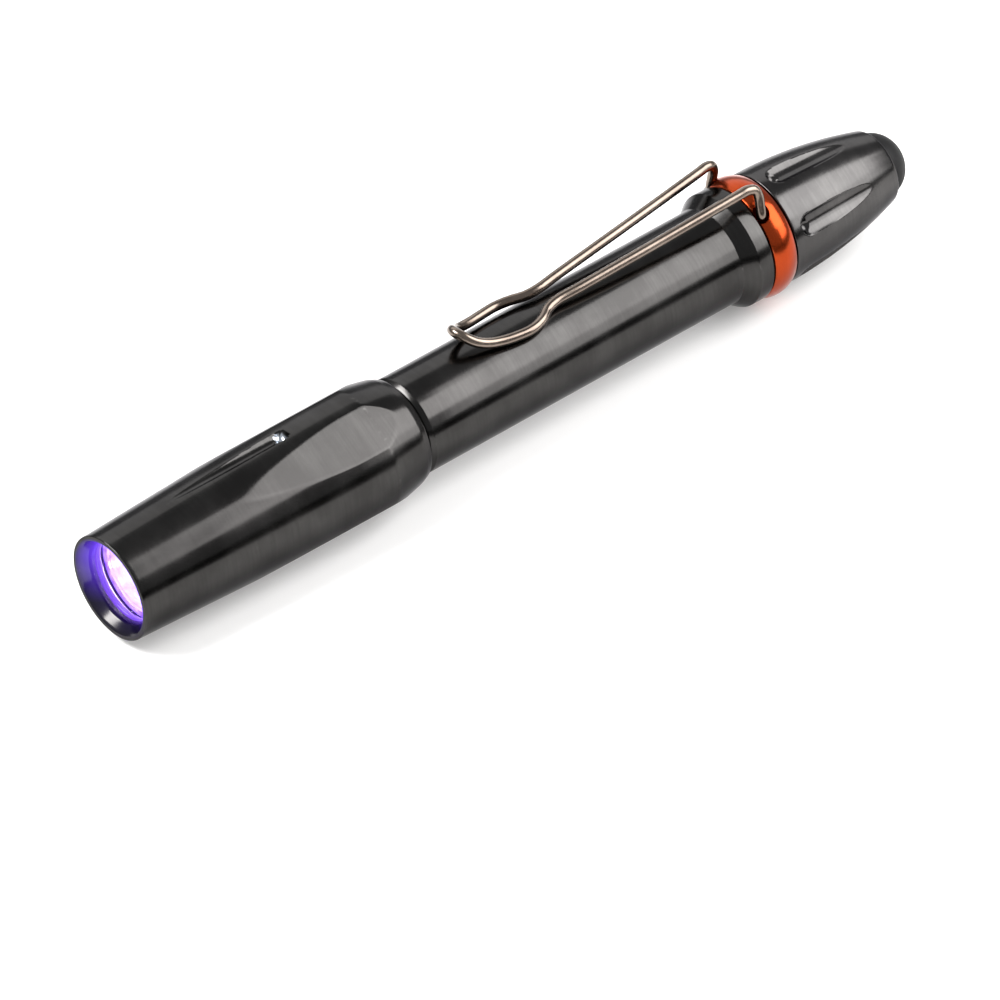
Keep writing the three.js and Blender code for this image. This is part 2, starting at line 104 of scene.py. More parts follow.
def rounded(corners, closed=True):
    """Rounds an outline's corners, each (station, radius, size of its fillet), and marks them as edges."""
    outline = []
    count = len(corners)
    for i, corner in enumerate(corners):
        here = np.array(corner[:2], float)
        size = corner[2] if len(corner) > 2 else 0
        if size == 0 or (not closed and i in (0, count - 1)):
            outline.append((here[0], here[1], 0.0))
            continue
        before = np.array(corners[i - 1][:2], float) - here
        after = np.array(corners[(i + 1) % count][:2], float) - here
        reach = min(size, FILLET_SHARE * np.linalg.norm(before), FILLET_SHARE * np.linalg.norm(after))
        start = here + before / np.linalg.norm(before) * reach
        end = here + after / np.linalg.norm(after) * reach
        for k in range(FILLET_STEPS + 1):
            t = k / FILLET_STEPS
            point = (1 - t) ** 2 * start + 2 * t * (1 - t) * here + t * t * end
            outline.append((point[0], point[1], 1 - abs(2 * t - 1)))
    return outline


def densified(outline, spacing, closed=True):
    """Splits an outline's long stretches, so that a shape can vary along them."""
    result = []
    count = len(outline)
    for i, point in enumerate(outline):
        result.append(point)
        if not closed and i == count - 1:
            break
        after = outline[(i + 1) % count]
        parts = math.ceil(math.hypot(after[0] - point[0], after[1] - point[1]) / spacing(point, after))
        for k in range(1, parts):
            t = k / parts
            result.append((point[0] + t * (after[0] - point[0]),
                           point[1] + t * (after[1] - point[1]), 0.0))
    return result


SMALLEST_STEP = 0.12  # degrees between two columns of a turned mesh


def around(step=3.0, fine=()):
    """Angles about the axis in radians: even steps, and finer ones near each (centre, reach, step)."""
    angles = set(np.round(np.arange(0, 360, step), 3))
    for centre, reach, small in fine:
        span = np.arange(centre - reach, centre + reach + 1e-6, small)
        angles |= {round(float(a) % 360, 3) for a in span}
    ordered = sorted(angles)
    kept = [ordered[0]]
    for angle in ordered[1:]:
        if angle - kept[-1] > SMALLEST_STEP:
            kept.append(angle)
    return np.radians(kept)


def revolved(name, outline, angles=None, shape=None, closed=True, sharp=40):
    """Turns an outline about the pen's axis. shape gives the radius at a station and an angle."""
    angles = around() if angles is None else angles
    outline = np.array(outline, float)
    station = outline[:, 0][:, None] + 0 * angles[None, :]
    radius = outline[:, 1][:, None] + 0 * angles[None, :]
    wear = outline[:, 2][:, None] + 0 * angles[None, :]
    if shape is not None:
        radius, wear = shape(station, radius, np.degrees(angles)[None, :], wear)
    across = radius * np.sin(angles)[None, :]
    height = radius * np.cos(angles)[None, :]
    points = np.stack([FRONT + station * MM, -across * MM, AXIS + height * MM], -1).reshape(-1, 3)
    rows, columns = station.shape
    grid = np.arange(rows * columns).reshape(rows, columns)
    faces = []
    for i in range(rows if closed else rows - 1):
        upper, lower = grid[i], grid[(i + 1) % rows]
        for j in range(columns):
            k = (j + 1) % columns
            faces.append((int(upper[j]), int(lower[j]), int(lower[k]), int(upper[k])))
    wear = wear.reshape(-1)
    if not closed:
        points, wear, faces = close_on_axis(points, wear, faces, grid, outline)
    piece = make_object(name, points, faces, wear, sharp)
    turn_outwards(piece)
    return piece


def close_on_axis(points, wear, faces, grid, outline):
    """Turns the two end rows of an open outline, which lie on the axis, into single points."""
    columns = grid.shape[1]
    remap = np.arange(len(points))
    remap[grid[0]] = grid[0][0]
    remap[grid[-1]] = grid[-1][0]
    faces = [tuple(dict.fromkeys(int(remap[v]) for v in face)) for face in faces]
    used = sorted({v for face in faces for v in face})
    index = {v: i for i, v in enumerate(used)}
    faces = [tuple(index[v] for v in face) for face in faces if len(face) > 2]
    return points[used], wear[used], faces


def turn_outwards(piece):
    """Makes all faces of a closed mesh point out."""
    mesh = piece.data
    volume = 0.0
    for face in mesh.polygons:
        ring = [mesh.vertices[v].co for v in face.vertices]
        for k in range(1, len(ring) - 1):
            volume += ring[0].dot(ring[k].cross(ring[k + 1]))
    if volume < 0:
        mesh.flip_normals()


def softened(a, b, width):
    """The smaller of two surfaces, with the edge between them slightly rounded."""
    gap = np.clip((b - a) / width, -1, 1)
    return np.minimum(a, b) - width * 0.25 * (1 - np.abs(gap)) ** 2


def beside(angle, centre):
    """Signed angle from a centre line, in radians."""
    return np.radians((angle - centre + 180) % 360 - 180)


def channel(angle, centre, middle_height, tool):
    """Radius at which a ray from the axis enters a round tool that lies over a centre line."""
    off = beside(angle, centre)
    inside = tool ** 2 - (middle_height * np.sin(off)) ** 2
    hit = middle_height * np.cos(off) - np.sqrt(np.maximum(inside, 0))
    return np.where((inside > 0) & (np.abs(off) < 1.2), hit, OUTSIDE)


def ball(station, angle, centre, middle, middle_height, size):
    """Radius at which a ray from the axis enters a ball that lies over a centre line."""
    tool = np.sqrt(np.maximum(size ** 2 - (station - middle) ** 2, 0))
    return channel(angle, centre, middle_height, tool)


DOME_ANGLES = [math.radians(a) for a in (80, 60, 40, 20)]


def swept(name, path, radius, sides=16):
    """A round wire along a path of points in metres, with domed ends."""
    path = np.array(path, float)
    tangent = np.gradient(path, axis=0)
    tangent /= np.linalg.norm(tangent, axis=1)[:, None]
    side = np.cross(tangent[0], [0.3, 0.5, 0.8])
    side /= np.linalg.norm(side)
    frames = []
    for t in tangent:
        side = side - t * np.dot(side, t)
        side /= np.linalg.norm(side)
        frames.append((side.copy(), np.cross(t, side)))
    turn = np.linspace(0, 2 * math.pi, sides, endpoint=False)

    def circle(centre, pair, size):
        return centre + size * (np.cos(turn)[:, None] * pair[0] + np.sin(turn)[:, None] * pair[1])

    rings = []
    for a in DOME_ANGLES:
        inset = tangent[0] * radius * (1 - math.sin(a))
        rings.append(circle(path[0] + inset, frames[0], radius * math.cos(a)))
    for point, pair in zip(path[2:-2], frames[2:-2]):
        rings.append(circle(point, pair, radius))
    for a in reversed(DOME_ANGLES):
        inset = tangent[-1] * radius * (1 - math.sin(a))
        rings.append(circle(path[-1] - inset, frames[-1], radius * math.cos(a)))
    count = len(rings)
    faces = []
    for i in range(count - 1):
        for j in range(sides):
            k = (j + 1) % sides
            faces.append((i * sides + j, i * sides + k, (i + 1) * sides + k, (i + 1) * sides + j))
    faces.append(tuple(reversed(range(sides))))
    faces.append(tuple(range((count - 1) * sides, count * sides)))
    piece = make_object(name, np.concatenate(rings), faces, None, sharp=60)
    turn_outwards(piece)
    return piece


def spline(points, count):
    """Evenly spread points on a centripetal Catmull-Rom curve."""
    per_span = 24
    points = [np.array(p, float) for p in points]
    points = [2 * points[0] - points[1], *points, 2 * points[-1] - points[-2]]
    dense = []
    for a, b, c, d in zip(points, points[1:], points[2:], points[3:]):
        k0, k1, k2 = (max(np.linalg.norm(q - p), 1e-9) ** 0.5 for p, q in ((a, b), (b, c), (c, d)))
        m1 = (b - a) / k0 - (c - a) / (k0 + k1) + (c - b) / k1
        m2 = (c - b) / k1 - (d - b) / (k1 + k2) + (d - c) / k2
        m1, m2 = m1 * k1, m2 * k1
        for t in np.linspace(0, 1, per_span, endpoint=False):
            dense.append((2 * t**3 - 3 * t**2 + 1) * b + (t**3 - 2 * t**2 + t) * m1
                         + (-2 * t**3 + 3 * t**2) * c + (t**3 - t**2) * m2)
    dense.append(points[-2])
    dense = np.array(dense)
    length = np.concatenate([[0], np.cumsum(np.linalg.norm(np.diff(dense, axis=0), axis=1))])
    even = np.linspace(0, length[-1], count)
    return np.stack([np.interp(even, length, dense[:, k]) for k in range(3)], -1)


def carve(piece, tools):
    """Cuts tools out of a piece, and removes them."""
    for tool in tools:
        step = piece.modifiers.new("cut", "BOOLEAN")
        step.operation = "DIFFERENCE"
        step.solver = "EXACT"
        step.object = tool
    bpy.context.view_layer.update()
    evaluated = piece.evaluated_get(bpy.context.evaluated_depsgraph_get())
    done = bpy.data.meshes.new_from_object(evaluated)
    piece.modifiers.clear()
    piece.data = done
    done.set_sharp_from_angle(angle=math.radians(30))
    for tool in tools:
        bpy.data.objects.remove(tool)


def post(name, centre, radius, height, sides=48):
    """An upright round bar about a point."""
    points, faces = [], []
    for level in (0, height):
        for k in range(sides):
            turn = 2 * math.pi * k / sides
            points.append((centre[0] + radius * math.cos(turn), centre[1] + radius * math.sin(turn),
                           centre[2] + level))
    for k in range(sides):
        n = (k + 1) % sides
        faces.append((k, n, sides + n, sides + k))
    faces += [tuple(reversed(range(sides))), tuple(range(sides, 2 * sides))]
    return make_object(name, points, faces)


# --------------------------------------------------------------------------------------- materials


def add(tree, kind, inputs=(), **settings):
    """A shader node with its settings, and its inputs either linked or set."""
    made = tree.nodes.new("ShaderNode" + kind)
    for name, value in settings.items():
        setattr(made, name, value)
    for name, value in dict(inputs).items():
        if isinstance(value, bpy.types.NodeSocket):
            tree.links.new(value, made.inputs[name])
        else:
            made.inputs[name].default_value = value
    return made


EVEN = (1, 1, 1)
TURNED = (1.0, 0.05, 0.05)
PATCH_SCALE, SPECK_SCALE = 170.0, 1900.0


def finish(name, low, high, rough, stretch=EVEN, grain=2500, bump=0.0, wear=None, bare=None, **values):
    """A material whose colour runs between low and high, and whose roughness varies in patches.

    stretch scales the grain along each axis, so that a turned part has fine rings. bump is the grain's
    height in metres. wear is the colour in specks on edges, and bare the metal's colour where the edge
    attribute is 2."""
    made = bpy.data.materials.new(name)
    made.use_nodes = True
    tree = made.node_tree
    shader = tree.nodes["Principled BSDF"]
    for socket, value in values.items():
        shader.inputs[socket.replace("_", " ")].default_value = value
    place = add(tree, "TexCoord").outputs["Object"]
    lines = add(tree, "Mapping", {"Vector": place, "Scale": stretch}).outputs["Vector"]
    fine = add(tree, "TexNoise", {"Vector": lines, "Scale": grain, "Detail": 3.0}).outputs["Fac"]
    patches = add(tree, "TexNoise", {"Vector": place, "Scale": PATCH_SCALE, "Detail": 4.0}).outputs["Fac"]
    specks = add(tree, "TexNoise", {"Vector": place, "Scale": SPECK_SCALE, "Detail": 2.0}).outputs["Fac"]
    mottle = add(tree, "Math", {0: fine, 1: patches, 2: patches}, operation="MULTIPLY_ADD").outputs[0]
    share = add(tree, "MapRange", {"Value": mottle, "From Min": 0.55, "From Max": 1.05})
    colour = add(tree, "Mix", {"Factor": share.outputs[0]}, data_type="RGBA")
    colour.inputs["A"].default_value = (*low, 1)
    colour.inputs["B"].default_value = (*high, 1)
    out = colour.outputs["Result"]
    if wear is not None:
        edge = add(tree, "Attribute", attribute_name="edge").outputs["Fac"]
        rubbed = add(tree, "MapRange", {"Value": specks, "From Min": 0.55, "From Max": 0.8}).outputs[0]
        worn = add(tree, "Math", {0: edge, 1: rubbed}, operation="MULTIPLY").outputs[0]
        marks = add(tree, "Mix", {"Factor": worn}, data_type="RGBA")
        tree.links.new(out, marks.inputs["A"])
        marks.inputs["B"].default_value = (*wear, 1)
        out = marks.outputs["Result"]
        if bare is not None:
            drilled = add(tree, "Math", {0: edge, 1: 1.0}, operation="SUBTRACT",
                          use_clamp=True).outputs[0]
            marks = add(tree, "Mix", {"Factor": drilled}, data_type="RGBA")
            tree.links.new(out, marks.inputs["A"])
            marks.inputs["B"].default_value = (*bare, 1)
            out = marks.outputs["Result"]
    tree.links.new(out, shader.inputs["Base Color"])
    patchy = add(tree, "MapRange", {"Value": patches, "From Min": 0.35, "From Max": 0.68,
                                    "To Min": rough[0], "To Max": rough[1]})
    tree.links.new(patchy.outputs[0], shader.inputs["Roughness"])
    if bump:
        raised = add(tree, "Bump", {"Height": fine, "Strength": 0.6, "Distance": bump})
        tree.links.new(raised.outputs[0], shader.inputs["Normal"])
    return made


EDGE_TINT = (0.62, 0.62, 0.63, 1)


def black_anodised(name, bare=None):
    return finish(name, (0.032, 0.0308, 0.0300), (0.047, 0.0455, 0.0442), (0.15, 0.22), TURNED, 3000, 7e-7,
                  (0.09, 0.088, 0.085), bare, Metallic=1.0, Specular_Tint=EDGE_TINT)


BLACK = black_anodised("anodised_black")
GUNMETAL = finish("anodised_cap", (0.050, 0.0482, 0.0475), (0.072, 0.0695, 0.068), (0.17, 0.24), TURNED,
                  2600, 9e-7, (0.14, 0.135, 0.13), Metallic=1.0, Specular_Tint=EDGE_TINT)
ORANGE = finish("anodised_orange", (0.27, 0.031, 0.005), (0.34, 0.044, 0.008), (0.16, 0.23), TURNED,
                3200, 6e-7, (0.5, 0.2, 0.1), Metallic=0.9)
WIRE = finish("bright_wire", (0.140, 0.111, 0.092), (0.205, 0.166, 0.138), (0.17, 0.25), EVEN, 900,
              2e-7, Metallic=1.0)
RUBBER = finish("moulded_rubber", (0.005, 0.0048, 0.005), (0.008, 0.0077, 0.008), (0.5, 0.66), EVEN,
                4200, 5e-6, Specular_IOR_Level=0.15)
BRASS = finish("turned_brass", (0.55, 0.36, 0.13), (0.72, 0.50, 0.22), (0.22, 0.34), TURNED, 3000,
               6e-7, (0.8, 0.65, 0.4), Metallic=1.0)
STEEL = finish("spring_wire", (0.50, 0.50, 0.50), (0.68, 0.68, 0.67), (0.18, 0.28), EVEN, 1500, 3e-7,
               Metallic=1.0)
GREEN = finish("board_green", (0.010, 0.085, 0.030), (0.016, 0.13, 0.048), (0.3, 0.42), EVEN, 1200,
               8e-7, (0.35, 0.28, 0.12), Coat_Weight=0.4, Coat_Roughness=0.15)
WHITE = finish("board_white", (0.66, 0.66, 0.68), (0.78, 0.78, 0.78), (0.35, 0.48), EVEN, 1200, 8e-7,
               (0.5, 0.4, 0.2))
PLASTIC = finish("moulded_plastic", (0.016, 0.016, 0.017), (0.026, 0.026, 0.027), (0.38, 0.52), EVEN,
                 2600, 2e-6)
WRAP = finish("cell_wrap", (0.030, 0.055, 0.13), (0.045, 0.085, 0.18), (0.22, 0.32), EVEN, 1100, 4e-7,
              (0.6, 0.6, 0.6), Coat_Weight=0.5, Coat_Roughness=0.1)


def glow(name, low, high, light, power):
    """A material that gives light of its own."""
    made = finish(name, low, high, (0.15, 0.25))
    shader = made.node_tree.nodes["Principled BSDF"]
    shader.inputs["Emission Color"].default_value = (*light, 1)
    shader.inputs["Emission Strength"].default_value = power
    return made


def clear(name, tint):
    """Clear glass with very faint smears on it."""
    made = finish(name, tint, tint, (0.0, 0.03), EVEN, 1500, Transmission_Weight=1.0)
    made.node_tree.nodes["Principled BSDF"].inputs["IOR"].default_value = 1.5
    return made


def painted_glow_metal(name, mouth, throat, low, high, power):
    """Bright metal with a painted glow: emission that stands in for the lamp's light in the cup, one colour
    at its mouth, another at its throat.
    """
    made = finish(name, (0.80, 0.76, 0.92), (0.92, 0.90, 1.0), (0.12, 0.18), EVEN, 900, 1e-7, Metallic=1.0)
    tree = made.node_tree
    place = add(tree, "TexCoord").outputs["Object"]
    along = add(tree, "SeparateXYZ", {"Vector": place}).outputs["X"]
    depth = add(tree, "MapRange", {"Value": along, "From Min": mouth, "From Max": throat}).outputs[0]
    streaks = add(tree, "TexNoise", {"Vector": place, "Scale": 900.0, "Detail": 3.0}).outputs["Fac"]
    share = add(tree, "Math", {0: streaks, 1: 0.9, 2: -0.3}, operation="MULTIPLY_ADD").outputs[0]
    total = add(tree, "Math", {0: depth, 1: share}, operation="ADD", use_clamp=True).outputs[0]
    colour = add(tree, "Mix", {"Factor": total}, data_type="RGBA")
    colour.inputs["A"].default_value = (*low, 1)
    colour.inputs["B"].default_value = (*high, 1)
    shader = tree.nodes["Principled BSDF"]
    tree.links.new(colour.outputs["Result"], shader.inputs["Emission Color"])
    shader.inputs["Emission Strength"].default_value = power
    return made


LENS_REAR_EDGE = 2.6  # station behind which the bezel takes no painted glow
GLOW_EDGE = 7.0  # radius where the bezel's painted glow ends
GLOW_DEPTH = 1.4  # how far in from that edge it reaches its full strength


def paint_rim_glow(made, colour, power):
    """Paints the lamp's glow into the metal just in front of the lens as emission, fainter towards the
    underside.
    """
    tree = made.node_tree
    place = add(tree, "TexCoord").outputs["Object"]
    parts = add(tree, "SeparateXYZ", {"Vector": place}).outputs
    height = add(tree, "Math", {0: parts["Z"], 1: AXIS}, operation="SUBTRACT").outputs[0]
    flat = add(tree, "CombineXYZ", {"X": parts["Y"], "Y": height}).outputs[0]
    away = add(tree, "VectorMath", {0: flat}, operation="LENGTH").outputs["Value"]
    edge, rear = GLOW_EDGE * MM, spot(LENS_REAR_EDGE, 0, 0).x
    near = add(tree, "MapRange", {"Value": away, "From Min": edge,
                                  "From Max": edge - GLOW_DEPTH * MM}).outputs[0]
    ahead = add(tree, "MapRange", {"Value": parts["X"], "From Min": rear,
                                   "From Max": rear - 0.3 * MM}).outputs[0]
    above = add(tree, "MapRange", {"Value": height, "From Min": -4.5 * MM, "From Max": 2.0 * MM,
                                   "To Min": 0.05}).outputs[0]
    lit = add(tree, "Math", {0: near, 1: ahead}, operation="MULTIPLY").outputs[0]
    lit = add(tree, "Math", {0: lit, 1: above}, operation="MULTIPLY").outputs[0]
    shade = add(tree, "Mix", {"Factor": lit}, data_type="RGBA")
    shade.inputs["A"].default_value = (0, 0, 0, 1)
    shade.inputs["B"].default_value = (*colour, 1)
    shader = tree.nodes["Principled BSDF"]
    tree.links.new(shade.outputs["Result"], shader.inputs["Emission Color"])
    shader.inputs["Emission Strength"].default_value = power
    return made


GLASS = clear("lens_glass", (0.93, 0.92, 1.0))
# The reflector's glow is painted light: emission in place of the lamp's light in the cup.
REFLECTOR_PAINTED_GLOW = painted_glow_metal("reflector_metal_painted_glow", spot(4.8, 0, 0).x, spot(9.0, 0, 0).x, (0.16, 0.05, 0.85),
                   (0.80, 0.62, 1.0), 2.4)
BARE_METAL = (0.62, 0.66, 0.72)
# The head's black metal, with the lamp's glow painted on its bezel as emission.
BLACK_HEAD_PAINTED_GLOW = paint_rim_glow(black_anodised("anodised_black_head_painted_glow", BARE_METAL), (0.13, 0.05, 0.75), 1.0)
# The gasket's glow is painted light: emission in place of the lamp's light falling on the rubber.
PAINTED_GLOW_RUBBER = glow("rubber_painted_glow", (0.02, 0.015, 0.03), (0.03, 0.02, 0.04), (0.22, 0.08, 0.95), 0.9)
LED = glow("led_dome", (0.80, 0.78, 0.9), (0.9, 0.88, 1.0), (0.36, 0.20, 1.0), 60.0)


def dress(piece, material, body, slot, *nodes):
    """Gives a piece its material and body, and hides the CAD nodes that it stands for. The slot is not used.
    """
    piece.data.materials.clear()
    piece.data.materials.append(material)
    if body:
        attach(piece, body)
    if nodes:
        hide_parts(*nodes)
    return piece


# -------------------------------------------------------------------------------------------- head

HEAD_LENGTH = 46.9
HEAD_BORE = 6.5
HEAD_RADIUS, CONE_RADIUS, REAR_RADIUS = 8.75, 8.62, 7.2
CONE_END, EASE_LENGTH, TAPER_START, TAPER_END = 31.5, 5.0, 40.3, 45.8
BEZEL_DEPTH, APERTURE_END, APERTURE = 1.6, 2.2, 5.6
GROOVES = (0, 180)
FLAT_OFFSET = 38
FLAT_DISTANCE = 8.12
GROOVE_FLOOR, GROOVE_TOOL, GROOVE_END = 7.75, 1.2, 28.2
GROOVE_RIPPLE, GROOVE_RIPPLE_PITCH = 0.008, 0.62  # marks that the cutter leaves across the floor
POCKET_INSET, POCKET_LIFT = 0.75, 0.62  # of a ball-shaped pocket, past a groove's end and above its floor


def near_edge(cut, radius, width):
    """1 where a cut meets the turned surface, falling to 0 at a width from it."""
    return np.clip(1 - np.abs(cut - radius) / width, 0, 1)


def head_shape(station, radius, angle, wear):
    """The head's turned surface with its milled flats and grooves."""
    edge = wear.copy()
    for side in GROOVES:
        for offset in (-FLAT_OFFSET, FLAT_OFFSET):
            off = beside(angle, side + offset)
            flat = np.where(np.abs(off) < 1.0, FLAT_DISTANCE / np.maximum(np.cos(off), 0.3), OUTSIDE)
            radius = softened(radius, flat, 0.05)
    past = np.clip(station - GROOVE_END, 0, GROOVE_TOOL)
    tool = np.sqrt(np.maximum(GROOVE_TOOL ** 2 - past ** 2, 0))
    ripple = GROOVE_RIPPLE * np.sin(2 * math.pi * station / GROOVE_RIPPLE_PITCH)
    ripple = ripple * np.clip((GROOVE_END - station) / 1.5, 0, 1)
    for side in GROOVES:
        cut = channel(angle, side, GROOVE_FLOOR + GROOVE_TOOL, tool)
        cut = np.where(station > GROOVE_END + GROOVE_TOOL, OUTSIDE, cut)
        cut = np.where(cut < OUTSIDE, cut + ripple, cut)
        edge = np.maximum(edge, near_edge(cut, radius, 0.06) * (radius > 7.4))
        radius = softened(radius, cut, 0.035)
        pocket = ball(station, angle, side, GROOVE_END + POCKET_INSET, GROOVE_FLOOR + POCKET_LIFT, 1.0)
        edge = np.where(pocket < radius - 0.03, 2.0, edge)
        radius = softened(radius, pocket, 0.05)
    return radius, edge


def head_spacing(a, b):
    """How far apart the head's rows may be: fine at the taper, the grooves and their ends."""
    if a[0] > TAPER_START - 0.2 and a[1] > REAR_RADIUS and b[1] > REAR_RADIUS:
        return 0.2
    if a[1] < REAR_RADIUS and b[1] < REAR_RADIUS:
        return 60.0
    if a[0] > 27 and b[0] < 32:
        return 0.1
    return 0.15 if a[0] > 11 and b[0] < 30 else 0.4


def head_outline():
    corners = [(0, 6.7, 0.06), (0, 7.33, 0.16), (27.0, 8.4345), (30.0, 8.5582), (CONE_END, CONE_RADIUS)]
    ease_rows = 5
    for k in range(1, ease_rows + 1):
        t = k / ease_rows
        rise = (HEAD_RADIUS - CONE_RADIUS) * math.sin(t * math.pi / 2)
        corners.append((CONE_END + EASE_LENGTH * t, CONE_RADIUS + rise))
    corners += [(TAPER_START, HEAD_RADIUS, 0.35), (TAPER_END - 0.5, 7.74), (TAPER_END, 7.62)]
    corners += [(HEAD_LENGTH, REAR_RADIUS, 0.25), (HEAD_LENGTH, HEAD_BORE, 0.08)]
    corners += [(APERTURE_END, HEAD_BORE, 0.05), (APERTURE_END, APERTURE, 0.05)]
    corners += [(BEZEL_DEPTH, APERTURE, 0.12), (1.2, 5.72, 0.1), (0.25, 6.45, 0.08)]
    return densified(rounded(corners), head_spacing)


HEAD_ANGLES = around(3.0, [(g, 9.5, 0.4) for g in GROOVES]
                     + [(g + o, 24.0, 1.0) for g in GROOVES for o in (-FLAT_OFFSET, FLAT_OFFSET)])
dress(revolved("head_shell_fine", head_outline(), HEAD_ANGLES, head_shape), BLACK_HEAD_PAINTED_GLOW, "head",
      "black_anodised", "head_shell")

gasket_section = rounded([(2.4, 5.5, 0.25), (2.4, 6.3, 0.25), (3.1, 6.3, 0.25), (3.1, 5.5, 0.25)])
dress(revolved("lens_gasket_fine", gasket_section), PAINTED_GLOW_RUBBER, "head", "black_rubber", "lens_gasket")
lens_section = rounded([(3.3, 0), (3.3, 6.3, 0.2), (4.5, 6.3, 0.2), (4.5, 0)], False)
dress(revolved("lens_window_fine", lens_section, closed=False), GLASS, "head", "lens_glass", "lens_window")


MOUTH_STATION, MOUTH_RADIUS = 4.8, 5.4
THROAT_STATION, THROAT_RADIUS = 10.2, 1.9


def reflector_outline():
    """A cup with shallow steps, from its wide mouth to the LED's throat."""
    corners = [(MOUTH_STATION, MOUTH_RADIUS, 0.05), (MOUTH_STATION, 6.28, 0.1), (5.6, 6.28, 0.1),
               (5.6, 5.8, 0.05), (THROAT_STATION, 3.5, 0.1), (THROAT_STATION, THROAT_RADIUS, 0.03)]
    steps = 7
    depth = THROAT_STATION - MOUTH_STATION
    for k in range(steps):
        t = (k + 0.5) / steps
        station = THROAT_STATION - depth * t
        radius = math.sqrt(THROAT_RADIUS ** 2 + (MOUTH_RADIUS ** 2 - THROAT_RADIUS ** 2) * t)
        corners.append((station + 0.09, radius - 0.05, 0.05))
        corners.append((station - 0.09, radius + 0.07, 0.05))
    return rounded(corners)


dress(revolved("reflector_fine", reflector_outline(), around(2.5), sharp=30), REFLECTOR_PAINTED_GLOW, "head",
      "bright_reflector", "reflector")


def led_outline():
    """The LED: a square-edged base with a dome on its front."""
    base, dome, height, steps = 9.9, 1.06, 1.25, 8
    corners = [(10.3, 0), (10.3, 1.35, 0.1), (9.95, 1.35, 0.12), (base, dome, 0.05)]
    for k in range(1, steps):
        angle = math.pi / 2 * k / steps
        corners.append((base - height * math.sin(angle), dome * math.cos(angle)))
    corners.append((base - height, 0))
    return rounded(corners, False)


dress(revolved("led_emitter_fine", led_outline(), closed=False), LED, "head", "led_dome", "led_emitter")

# ------------------------------------------------------------------------------------------ barrel

BARREL_RADIUS, COLLAR_RADIUS, NECK_RADIUS, SPIGOT_RADIUS, CELL_BORE = 6.8, 8.1, 6.3, 6.1, 5.4
COLLAR_END = 103.9
THREADS = ((31.0, 42.6), (111.2, 114.1))
THREAD_OUTSIDE = (5.9, 6.35)  # radii between which a point lies on a threaded stretch
PITCH, THREAD_DEPTH, THREAD_FADE = 1.0, 0.36, 0.6


def thread_shape(station, radius, angle, wear):
    """Helical threads on the neck and the spigot."""
    for start, end in THREADS:
        phase = (station - angle / 360 * PITCH) / PITCH % 1
        groove = np.clip(1.9 * (1 - np.abs(2 * phase - 1)) - 0.45, 0, 1)
        fade = np.clip((station - start) / THREAD_FADE, 0, 1) * np.clip((end - station) / THREAD_FADE, 0, 1)
        outer = (radius > THREAD_OUTSIDE[0]) & (radius < THREAD_OUTSIDE[1])
        radius = radius - np.where(outer, THREAD_DEPTH * groove * fade, 0)
    return radius, wear


def barrel_spacing(a, b):
    """How far apart the barrel's rows may be: fine along the threads."""
    low, high = THREAD_OUTSIDE
    middle = (a[0] + b[0]) / 2
    along = low < a[1] < high and low < b[1] < high and abs(a[1] - b[1]) < 0.01
    return 0.1 if along and (middle > 104 or middle < 44) else 4.0


def ring_seat(middle, outer, floor):
    """A square groove for an O-ring."""
    half = 0.7
    return [(middle - half, outer, 0.06), (middle - half, floor, 0.06), (middle + half, floor, 0.06),
            (middle + half, outer, 0.06)]


def barrel_outline():
    corners = [(16.4, CELL_BORE, 0.1), (16.4, NECK_RADIUS, 0.3), (30.9, NECK_RADIUS), (42.7, NECK_RADIUS)]
    corners += [*ring_seat(44.6, NECK_RADIUS, 5.9), (47.35, NECK_RADIUS, 0.05)]
    corners += [(47.37, 6.42, 0.05), (48.0, BARREL_RADIUS, 0.08), (99.8, BARREL_RADIUS, 0.1)]
    corners += [(101.7, COLLAR_RADIUS, 0.14), (COLLAR_END, COLLAR_RADIUS, 0.12)]
    corners += [(COLLAR_END, SPIGOT_RADIUS, 0.08), *ring_seat(110.1, SPIGOT_RADIUS, 5.7)]
    corners += [(111.1, SPIGOT_RADIUS), (114.4, SPIGOT_RADIUS, 0.3), (114.4, CELL_BORE, 0.1)]
    return densified(rounded(corners), barrel_spacing)


dress(revolved("barrel_fine", barrel_outline(), around(3.0), thread_shape), BLACK, "barrel",
      "black_anodised", "barrel")
for name, middle, inner, body in (("head_oring", 44.6, 6.0, "head_ring"),
                                  ("tail_oring", 110.1, 5.8, "cap_ring")):
    section = [(middle + 0.58 * math.cos(a), inner + 0.21 + 0.21 * math.sin(a), 0)
               for a in np.linspace(0, 2 * math.pi, 16, endpoint=False)]
    dress(revolved(name + "_fine", section), RUBBER, body, "black_rubber", name)

# --------------------------------------------------------------------------- accent ring and clip

FOOT_STATION, FOOT_ACROSS, FOOT_HOLE = 105.0, 5.05, 1.1
RING_START, RING_END, RING_RADIUS, RING_CROWN = 104.2, 107.9, 8.0, 0.5


def accent_outline():
    corners = [(RING_START, 6.3, 0.08), (RING_START, RING_RADIUS, 0.14)]
    middle, reach, steps = 106.05, 1.85, 10
    for k in range(1, steps):
        across = 2 * k / steps - 1
        corners.append((middle + reach * across, RING_RADIUS + RING_CROWN * (1 - across ** 2)))
    corners += [(RING_END, RING_RADIUS, 0.14), (RING_END, 6.3, 0.08)]
    return rounded(corners)


ring = revolved("accent_ring_fine", accent_outline(), around(2.0))
carve(ring, [post("hole", spot(FOOT_STATION, side * FOOT_ACROSS, 4.95), FOOT_HOLE * MM, 9 * MM)
             for side in (-1, 1)])
dress(ring, ORANGE, "clip_ring", "orange_anodised", "accent_ring")

